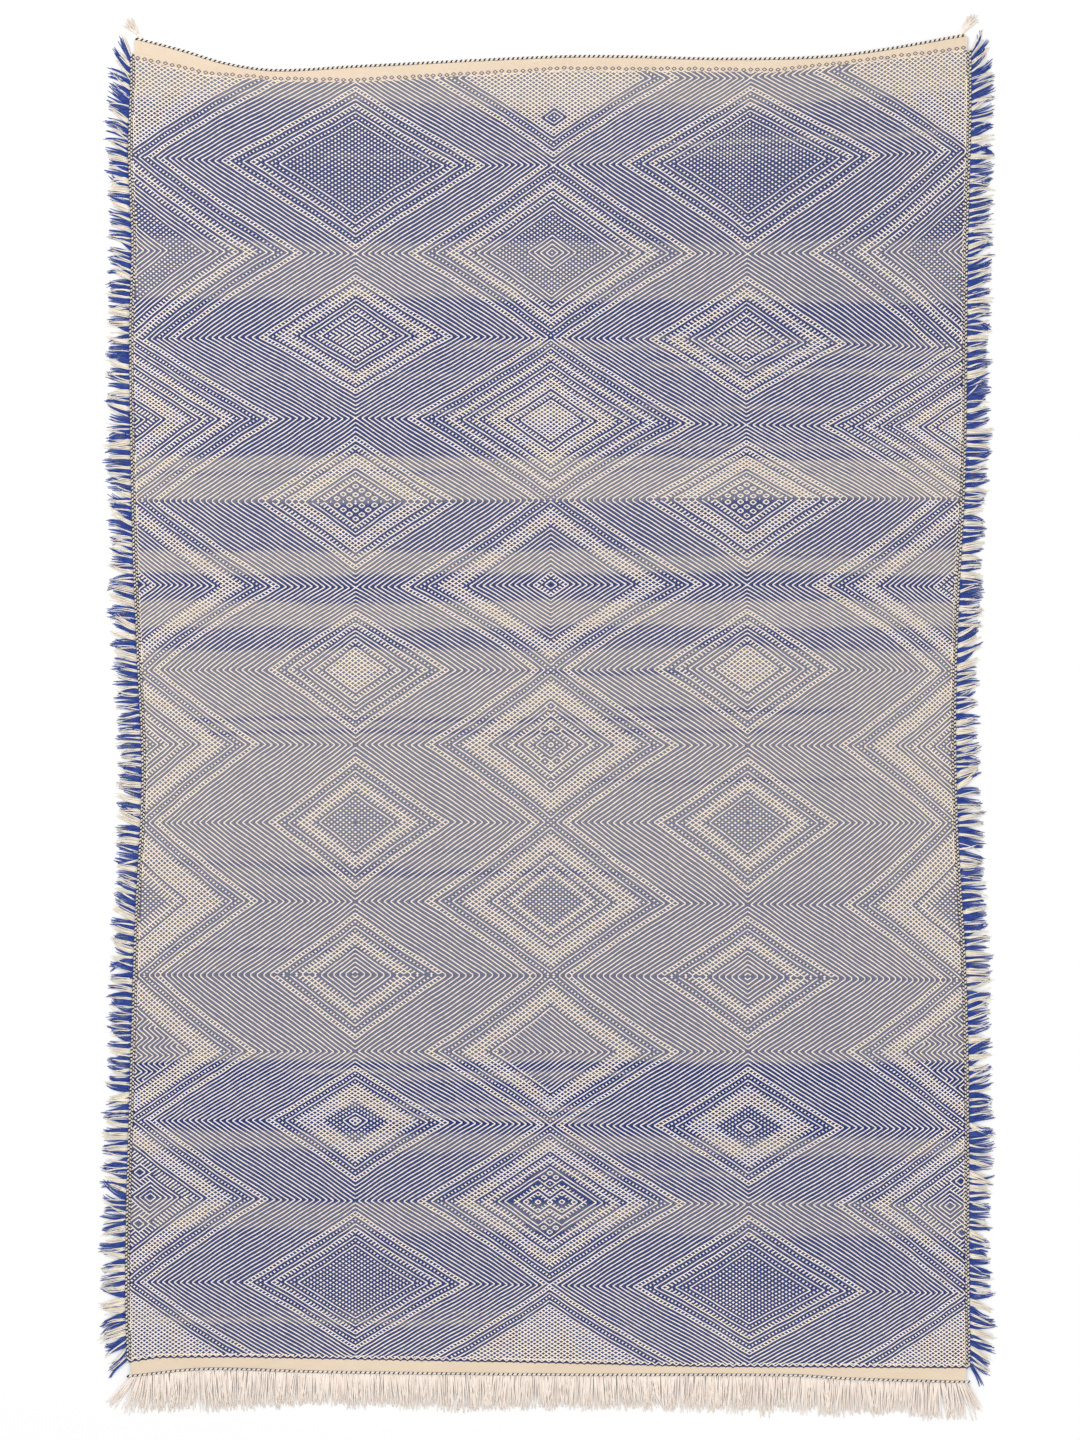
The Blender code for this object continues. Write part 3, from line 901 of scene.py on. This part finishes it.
class KILIM_OT_cloth(bpy.types.Operator):
    """Weave the dark ground of the cloth with its reverse"""

    bl_idname = "kilim.cloth"
    bl_label = "Woven Cloth"

    def execute(self, context):
        yarn = context.scene.kilim_cloth
        front = faded_yarn("ground_indigo", "fading", tuple(yarn.indigo), tuple(yarn.faded), 0.0003)
        back = plain_yarn("ground_reverse", linear(120, 116, 132), linear(222, 216, 214), patch=0.5,
                          fleck=0.9, patch_scale=30.0, fleck_scale=420.0, weave_depth=0.0004)
        rows, columns = 560, 84
        a = np.linspace(0, 1, columns)[None]
        b = np.linspace(0, 1, rows)[:, None]
        x, y = spread_between(a, lambda x: edge(FRINGE_EDGE, x) * (1 - b) + edge(TASSEL_EDGE, x) * b)
        top = np.stack([x, y, lie(x, y)], -1).reshape(-1, 3)
        base = top.copy()
        base[:, 2] = np.maximum(base[:, 2] - CLOTH_THICK, 0.0)
        number = np.arange(rows * columns).reshape(rows, columns)
        upper = grid_faces(rows, columns)
        rim = np.concatenate([number[0, :-1], number[:-1, -1], number[-1, :0:-1], number[:0:-1, 0]])
        next_rim = np.roll(rim, -1)
        size = len(top)
        walls = np.stack([rim + size, next_rim + size, next_rim, rim], -1)
        points = np.concatenate([top, base])
        square = flat_map(top)
        uv = np.concatenate([square * (0.5, 1.0), square * (0.5, 1.0) + (0.5, 0.0)])
        faces = np.concatenate([upper, upper[:, ::-1] + size, walls])
        pale = fading(points[:, 0], points[:, 1])
        piece = new_piece("kilim_ground", points, faces, [front, back], uv=uv,
                          values={"fading": pale})
        kinds = np.zeros(len(faces), np.int32)
        kinds[len(upper):2 * len(upper)] = 1
        piece.data.polygons.foreach_set("material_index", kinds)
        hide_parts("kilim_cloth")
        return {"FINISHED"}


class KILIM_OT_pattern(bpy.types.Operator):
    """Float the ivory pattern threads over the ground"""

    bl_idname = "kilim.pattern"
    bl_label = "Pattern Threads"

    def execute(self, context):
        yarn = context.scene.kilim_cloth
        ivory = faded_yarn("pattern_ivory", "warmth", tuple(yarn.ivory), tuple(yarn.cream))
        rng = np.random.default_rng(SEED)
        knots, links = lattice()
        u, v, band, lean = links.T
        band = band.astype(int)
        middle_u, middle_v = u + lean / 4, v + 0.25
        there = thread_present(middle_u, middle_v, band, lean)
        u, v, lean = u[there], v[there], lean[there]
        a = np.stack(woven_place(u, v), 1)
        b = np.stack(woven_place(u + lean / 2, v + 0.5), 1)
        keep = inside_field(*a.T) | inside_field(*b.T)
        a, b = held_inside(a[keep]), held_inside(b[keep])
        at = slants(middle_u[there][keep], middle_v[there][keep], band[there][keep])
        ring = lean[keep] * at["turn"] <= 0
        width = np.where(ring, yarn.thread_width, yarn.cross_width) * rng.uniform(0.86, 1.14, len(a))
        rise = yarn.thread_rise * rng.uniform(0.8, 1.2, len(a))
        alone = knot_present(knots[:, 0], knots[:, 1], knots[:, 2].astype(int))
        heads = np.stack(woven_place(knots[alone, 0], knots[alone, 1]), 1)
        heads = heads[inside_field(*heads.T)]
        size = rng.uniform(0.88, 1.12, (2, len(heads)))
        lines = np.linspace(1.3, -1.3, 401)
        below = np.interp(lines, np.sort(a[:, 1]), np.arange(len(a)))
        cuts = np.interp(np.arange(1, PATTERN_PIECES) / PATTERN_PIECES * len(a), below[::-1], lines[::-1])
        cuts = np.concatenate([[-2.0], cuts, [2.0]])
        for k in range(PATTERN_PIECES):
            mine = (a[:, 1] > cuts[k]) & (a[:, 1] <= cuts[k + 1])
            alone = (heads[:, 1] > cuts[k]) & (heads[:, 1] <= cuts[k + 1])
            points, faces = joined([
                threads(a[mine], b[mine], width[mine], rise[mine]),
                knot_heads(heads[alone], yarn.knot_width * size[0, alone],
                           yarn.knot_height * size[1, alone],
                           yarn.thread_rise * size[0, alone]),
            ])
            pale = fading(points[:, 0], points[:, 1])
            new_piece(f"pattern_threads_{k + 1}", points, faces, ivory,
                      values={"warmth": pale})
        return {"FINISHED"}


class KILIM_OT_headings(bpy.types.Operator):
    """Weave the plain headings, their row of beads and their zigzag line"""

    bl_idname = "kilim.headings"
    bl_label = "Headings"

    def execute(self, context):
        yarn = context.scene.kilim_cloth
        cotton = plain_yarn("heading_cotton", tuple(yarn.heading), linear(242, 218, 189), patch=0.35,
                            fleck=0.25, weave_depth=0.00025, weft=0.0016, warp=0.0021)
        across = np.linspace(0, 1, 260)[None]
        share = np.array([0.0, 0.0, 0.04, 0.5, 0.96, 1.0])[:, None]
        rise = np.array([-1.6, 0.1, 0.3, 0.35, 0.25, -0.1])[:, None] * MM
        borders = {
            "heading_tassel_end": (TASSEL_EDGE, table(TASSEL_BORDER), -BEAD_STRIP),
            "heading_fringe_end": (FRINGE_EDGE, table(FRINGE_BORDER), -0.0012),
        }
        for name, (outer, inner, gap) in borders.items():
            x, y = spread_between(
                across, lambda x: edge(outer, x) * (1 - share) + (edge(inner, x) + gap) * share, 0.0003)
            points = np.stack([x, y, lie(x, y) + rise], -1).reshape(-1, 3)
            faces = grid_faces(len(share), across.size)
            if name == "heading_tassel_end":
                faces = faces[:, ::-1]
            new_piece(name, points, faces, cotton)
        beads = plain_yarn("heading_beads", linear(84, 84, 112), linear(132, 122, 134), fleck=0.4)
        rng = np.random.default_rng(SEED + 1)
        x = np.linspace(-0.724, 0.735, 500)
        line = np.stack([x, edge(table(TASSEL_BORDER), x) - 0.0052], 1)
        place, way, _ = along_line(line, 0.0122)
        place = place + rng.normal(0, 0.0005, place.shape)
        up = np.stack([-way[:, 1], way[:, 0]], 1)
        corners = np.stack([place + way * 0.0040, place + up * 0.0029,
                            place - way * 0.0040, place - up * 0.0029], 1)
        points, faces = threads(corners.reshape(-1, 2), np.roll(corners, -1, 1).reshape(-1, 2),
                                0.0025, 0.0007)
        new_piece("heading_beads", points, faces, beads)
        turns = np.arange(-0.742, 0.746, 0.00625)
        y = edge(table(FRINGE_BORDER), turns) + np.where(np.arange(len(turns)) % 2 == 0, 0.0024, -0.0022)
        ends = np.stack([turns, y + rng.normal(0, 0.0003, len(turns))], 1)
        indigo = plain_yarn("zigzag_indigo", linear(34, 42, 88), linear(84, 86, 112))
        ivory = plain_yarn("zigzag_ivory", tuple(yarn.ivory), linear(236, 220, 200))
        for name, shift, wide, made, slot in (
            ("heading_zigzag", 0.0, 0.0023, indigo, "weave"),
            ("heading_zigzag_pale", 0.0026, 0.0020, ivory, "ivory"),
        ):
            line = ends + (0, shift)
            points, faces = threads(line[:-1], line[1:], wide, 0.0008)
            new_piece(name, points, faces, made)
        return {"FINISHED"}


class KILIM_OT_cords(bpy.types.Operator):
    """Twine the cords along both headings and the selvedges along both sides"""

    bl_idname = "kilim.cords"
    bl_label = "Cords and Selvedges"

    def execute(self, context):
        trim = context.scene.kilim_trim
        dark = plain_yarn("twine_dark", tuple(trim.twine_dark), linear(66, 62, 76), fleck_scale=500.0)
        pale = plain_yarn("twine_pale", tuple(trim.twine_pale), linear(212, 200, 186), fleck_scale=500.0)
        for name, outer, out, cad, long, wide in (
            ("tassel_end", TASSEL_EDGE, 1, "twined_cord_tassel_end", 0.0080, 0.0043),
            ("fringe_end", FRINGE_EDGE, -1, "twined_cord_fringe_end", 0.0068, 0.0034),
        ):
            x = np.linspace(outer[0][0] + 0.002, outer[0][-1] - 0.002, 400)
            line = np.stack([x, edge(outer, x) + out * CORD_OUT, np.full(len(x), 0.0017)], 1)
            core = tube(line, *CORD_CORE)
            step = trim.twist
            dark_at, dark_way, _ = along_line(line, step)
            pale_at, pale_way, _ = along_line(line, step, step / 2)
            low = (0, 0, -0.0006)
            points, faces = joined([core, wraps(pale_at + low, pale_way, CORD_LEAN, *PALE_WRAP)])
            piece = new_piece(f"cord_pale_{name}", points, faces, pale)
            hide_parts(cad)
            points, faces = wraps(dark_at + low, dark_way, CORD_LEAN, long, wide, 0.0026)
            new_piece(f"cord_dark_{name}", points, faces, dark)
        rng = np.random.default_rng(SEED + 2)
        for name, points_in, out, cad in (
            ("left", LEFT_EDGE, -1, "selvedge_left"), ("right", RIGHT_EDGE, 1, "selvedge_right"),
        ):
            low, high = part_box(cad)
            y = np.linspace(low.y + 0.002, high.y - 0.002, 500)
            x = edge(points_in, y)
            pale_parts, dark_parts = [], []
            for k, shift in enumerate(SELVEDGE_LINES):
                lean = SELVEDGE_LEAN * (1 - 2 * k)
                line = np.stack([x + out * shift, y, np.full(len(y), 0.0015)], 1)
                pale_parts.append(tube(line, *SELVEDGE_CORE, sides=6))
                place, way, _ = along_line(line, SELVEDGE_PITCH, SELVEDGE_PITCH / 2 * k)
                place[:, 0] += rng.normal(0, 0.0004, len(place))
                dark_parts.append(wraps(place + (0, 0, -0.0003), way, lean, *SELVEDGE_DARK))
                place, way, _ = along_line(line, SELVEDGE_PITCH, SELVEDGE_PITCH / 2 * (1 - k))
                pale_parts.append(wraps(place + (0, 0, -0.0004), way, lean, *SELVEDGE_PALE))
            points, faces = joined(pale_parts)
            piece = new_piece(f"selvedge_pale_{name}", points, faces, pale)
            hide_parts(cad)
            points, faces = joined(dark_parts)
            new_piece(f"selvedge_dark_{name}", points, faces, dark)
        return {"FINISHED"}


class KILIM_OT_side_fringe(bpy.types.Operator):
    """Cut the blue and ivory fringe along both sides"""

    bl_idname = "kilim.side_fringe"
    bl_label = "Side Fringe"

    def execute(self, context):
        trim = context.scene.kilim_trim
        blue = plain_yarn("fringe_blue", tuple(trim.royal), linear(88, 108, 172), patch=0.5,
                          patch_scale=60.0, fleck=0.4, fleck_scale=500.0)
        pale = plain_yarn("fringe_ivory", tuple(trim.fringe_pale), linear(246, 234, 214), patch=0.4,
                          patch_scale=60.0, fleck=0.3, fleck_scale=500.0)
        for k, (name, points_in, out) in enumerate((("left", LEFT_EDGE, -1), ("right", RIGHT_EDGE, 1))):
            rng = np.random.default_rng(SEED + 3 + k)
            low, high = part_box(f"selvedge_{name}")
            total = high.y - low.y - 0.006
            locks = 2 * trim.side_bundles
            is_blue = np.arange(locks) % 2 == 0
            thin = rng.random(locks) < 0.6
            wide = np.where(is_blue, rng.uniform(4.5, 13, locks),
                            np.where(thin, rng.uniform(2.2, 4.5, locks), rng.uniform(6, 12, locks)))
            wide = wide * total / wide.sum()
            centre = np.cumsum(wide) - wide / 2
            share = centre / total
            lean = 0.12 + 0.28 * np.exp(-(1 - share) / 0.14) - 0.68 * np.exp(-share / 0.07)
            lean += (0.95 - 0.3 * k) * np.exp(-(1 - share) / 0.018) - 0.50 * np.exp(-share / 0.016)
            lean += 0.10 * np.sin(23 * share + 2 * k) + 0.07 * np.sin(61 * share)
            lean = np.clip(lean + rng.normal(0, 0.15, locks), -1.15, 1.42)
            reach = trim.side_length * rng.uniform(0.84, 1.04, locks)
            reach = reach * (0.95 + 0.05 * np.sin(13 * share + 3 * k) + 0.05 * np.sin(47 * share))
            bend = rng.normal(0, 0.30, locks)
            number = np.ceil(wide / 0.0014).astype(int)
            first = np.cumsum(number) - number
            for tone, material, mine, radius, lift in (
                ("blue", blue, is_blue, 0.00125, 0.0014), ("ivory", pale, ~is_blue, 0.00120, 0.0030),
            ):
                spot = np.repeat(np.arange(locks), number)
                place = (np.arange(len(spot)) - first[spot] + 0.5) / number[spot] - 0.5
                spot, place = spot[mine[spot]], place[mine[spot]]
                count = len(spot)
                y = low.y + 0.003 + centre[spot] + wide[spot] * place * 1.25
                x = edge(points_in, y) + out * (0.0078 + rng.uniform(0, 0.001, count))
                turn = lean[spot] - 0.06 * place + rng.normal(0, 0.045, count)
                angles = np.where(out > 0, turn, np.pi - turn)
                curl = (bend[spot] + rng.normal(0, 0.07, count)) * out
                lengths = reach[spot] * (1 - 0.5 * place**2) * rng.uniform(0.84, 1.04, count)
                roots = np.stack([x, y, rng.uniform(0.0006, 0.0020, count)], 1)
                radii = radius * rng.uniform(0.85, 1.15, count)
                rise = lift * rng.uniform(0.2, 1.0, count)
                points, faces = strand_set(roots, angles, lengths, radii, curl, rise, flatten=0.6)
                piece = new_piece(f"side_fringe_{tone}_{name}", points, faces, material)
                if tone == "blue":
                    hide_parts(f"side_fringe_{name}")
        return {"FINISHED"}


class KILIM_OT_warp_fringe(bpy.types.Operator):
    """Hang the ivory warp ends at the fringe end and the tassels on the other corners"""

    bl_idname = "kilim.warp_fringe"
    bl_label = "Warp Fringe and Tassels"

    def execute(self, context):
        trim = context.scene.kilim_trim
        cotton = plain_yarn("warp_cotton", tuple(trim.warp), linear(255, 235, 221), patch=0.4,
                            patch_scale=45.0, fleck=0.3, fleck_scale=420.0)
        rng = np.random.default_rng(SEED + 9)
        groups, each = 150, 9
        low, high = FRINGE_EDGE[0][0] + 0.006, FRINGE_EDGE[0][-1] - 0.006
        share = (np.arange(groups) + 0.5) / groups
        pitch = (high - low) / groups
        fan = 0.62 * np.exp(-(1 - share) / 0.014) - 0.75 * np.exp(-share / 0.014)
        lean = fan + 0.05 * np.sin(23 * share) + rng.normal(0, 0.06, groups)
        spot = np.repeat(np.arange(groups), each)
        place = np.tile((np.arange(each) + 0.5) / each - 0.5, groups)
        x = low + pitch * (spot + 0.5) + pitch * (0.80 * place) + rng.normal(0, 0.0006, len(spot))
        y = edge(FRINGE_EDGE, x) - 0.0046
        turn = -np.pi / 2 + lean[spot] + 0.16 * place + rng.normal(0, 0.03, len(spot))
        reach = 0.94 + 0.04 * np.sin(17 * share + 1) + rng.normal(0, 0.05, groups)
        reach += 0.16 * np.exp(-((share - 0.10) / 0.07) ** 2) + 0.12 * np.exp(-((share - 0.97) / 0.05) ** 2)
        reach *= trim.end_length
        lengths = reach[spot] * rng.uniform(0.86, 1.04, len(spot))
        curl = rng.normal(0, 0.07, groups)[spot] + rng.normal(0, 0.10, len(spot))
        roots = np.stack([x, y, rng.uniform(0.0006, 0.002, len(spot))], 1)
        radii = 0.00145 * rng.uniform(0.85, 1.15, len(spot))
        rise = rng.uniform(0.0001, 0.0022, len(spot))
        points, faces = strand_set(roots, turn, lengths, radii, curl, rise, steps=8, flatten=0.40)
        piece = new_piece("warp_fringe_ends", points, faces, cotton)
        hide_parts("warp_fringe")
        for name, side in (("left", -1), ("right", 1)):
            cad = f"corner_tassel_{name}"
            box_low, box_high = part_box(cad)
            inner = box_high.x if side < 0 else box_low.x
            foot = np.array([inner - side * 0.004, box_low.y - 0.001, 0.0012])
            lean = np.pi / 2 - side * TASSEL_LEAN
            count = TASSEL_STRANDS
            spread = np.linspace(-0.5, 0.5, count)
            way = np.array([np.cos(lean), np.sin(lean)])
            cross = np.array([-way[1], way[0]])
            start = foot[None] + np.concatenate(
                [cross[None] * (spread * 0.0046)[:, None], np.zeros((count, 1))], 1)
            neck = start + (*(way * TASSEL_NECK), 0)
            angles = lean + TASSEL_SPREAD * spread + rng.normal(0, 0.06, count)
            lengths = TASSEL_LENGTH * rng.uniform(0.72, 1.08, count)
            radii = np.full(count, 0.0009)
            strands = strand_set(neck + (0, 0, 0.0002), angles, lengths, radii,
                                 rng.normal(0, 0.3, count), rng.uniform(0, 0.002, count), steps=7,
                                 flatten=0.6)
            line = np.linspace(foot, foot + (*(way * 0.0125), 0.0), 12)
            knot = tube(line, 0.0028, 0.0014, sides=8)
            turns, turn_way, _ = along_line(line, 0.0017)
            bound = wraps(turns, turn_way, np.pi / 2, 0.0066, 0.0019, 0.0016)
            points, faces = joined([strands, knot, bound])
            piece = new_piece(f"tassel_{name}", points, faces, cotton)
            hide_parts(cad)
        return {"FINISHED"}


class KILIM_OT_stage(bpy.types.Operator):
    """Set the floor, the soft light and the camera"""

    bl_idname = "kilim.stage"
    bl_label = "Stage"

    def execute(self, context):
        stage = context.scene.kilim_stage
        made, _, shader = new_material("floor_plain", roughness=0.8)
        shader.inputs["Base Color"].default_value = tuple(stage.floor)
        half = 12.0
        corners = np.array([(-half, -half, 0), (half, -half, 0), (half, half, 0), (-half, half, 0)])
        mesh = bpy.data.meshes.new("floor")
        mesh.from_pydata((corners - (0, 0, 0.0004)).tolist(), [], [(0, 1, 2, 3)])
        mesh.materials.append(made)
        floor = bpy.data.objects.new("floor", mesh)
        context.scene.collection.objects.link(floor)
        world = bpy.data.worlds.new("soft_room")
        world.use_nodes = True
        world.node_tree.nodes["Background"].inputs["Color"].default_value = (1, 1, 1, 1)
        world.node_tree.nodes["Background"].inputs["Strength"].default_value = 0.83
        context.scene.world = world
        for name, place, size, power in (
            ("key_softbox", (-2.6, 2.4, 3.2), 2.5, 62.0), ("fill_softbox", (2.8, -2.0, 3.4), 3.0, 26.0),
        ):
            light = bpy.data.lights.new(name, "AREA")
            light.size, light.energy = size, power
            lamp = bpy.data.objects.new(name, light)
            lamp.location = place
            lamp.rotation_mode = "QUATERNION"
            lamp.rotation_quaternion = (-Vector(place)).to_track_quat("-Z", "Y")
            context.scene.collection.objects.link(lamp)
        camera = bpy.data.cameras.new("straight_above")
        camera.sensor_width = 36.0
        camera.lens = camera.sensor_width * stage.camera_height / stage.view_height
        camera.clip_end = 100.0
        holder = bpy.data.objects.new("straight_above", camera)
        holder.location = (-0.0141, -0.0053, stage.camera_height)
        context.scene.collection.objects.link(holder)
        context.scene.camera = holder
        context.scene.view_settings.view_transform = "Standard"
        return {"FINISHED"}


class KILIM_PT_panel(bpy.types.Panel):
    """Lists the steps that make the rug"""

    bl_idname = "KILIM_PT_panel"
    bl_label = "Moroccan Kilim"
    bl_space_type = "VIEW_3D"
    bl_region_type = "UI"
    bl_category = "Kilim"

    def draw(self, context):
        for group in ("kilim_cloth", "kilim_trim", "kilim_stage"):
            box = self.layout.box()
            settings = getattr(context.scene, group)
            for name in settings.bl_rna.properties.keys():
                if name not in ("rna_type", "name"):
                    box.prop(settings, name)
        for step in STEPS:
            self.layout.operator(step.bl_idname)


GROUPS = {
    "kilim_cloth": KilimClothSettings,
    "kilim_trim": KilimTrimSettings,
    "kilim_stage": KilimStageSettings,
}
STEPS = (KILIM_OT_cloth, KILIM_OT_pattern, KILIM_OT_headings, KILIM_OT_cords, KILIM_OT_side_fringe,
         KILIM_OT_warp_fringe, KILIM_OT_stage)


def register():
    for kind in (*GROUPS.values(), *STEPS, KILIM_PT_panel):
        bpy.utils.register_class(kind)
    for name, kind in GROUPS.items():
        setattr(bpy.types.Scene, name, bpy.props.PointerProperty(type=kind))


def unregister():
    for name in GROUPS:
        delattr(bpy.types.Scene, name)
    for kind in (KILIM_PT_panel, *reversed(STEPS), *reversed(list(GROUPS.values()))):
        bpy.utils.unregister_class(kind)


def main():
    register()
    yarn_mottle_group()
    plain_weave_group()
    for step in STEPS:
        family, action = step.bl_idname.split(".")
        getattr(getattr(bpy.ops, family), action)()


if __name__ == "__main__":
    main()
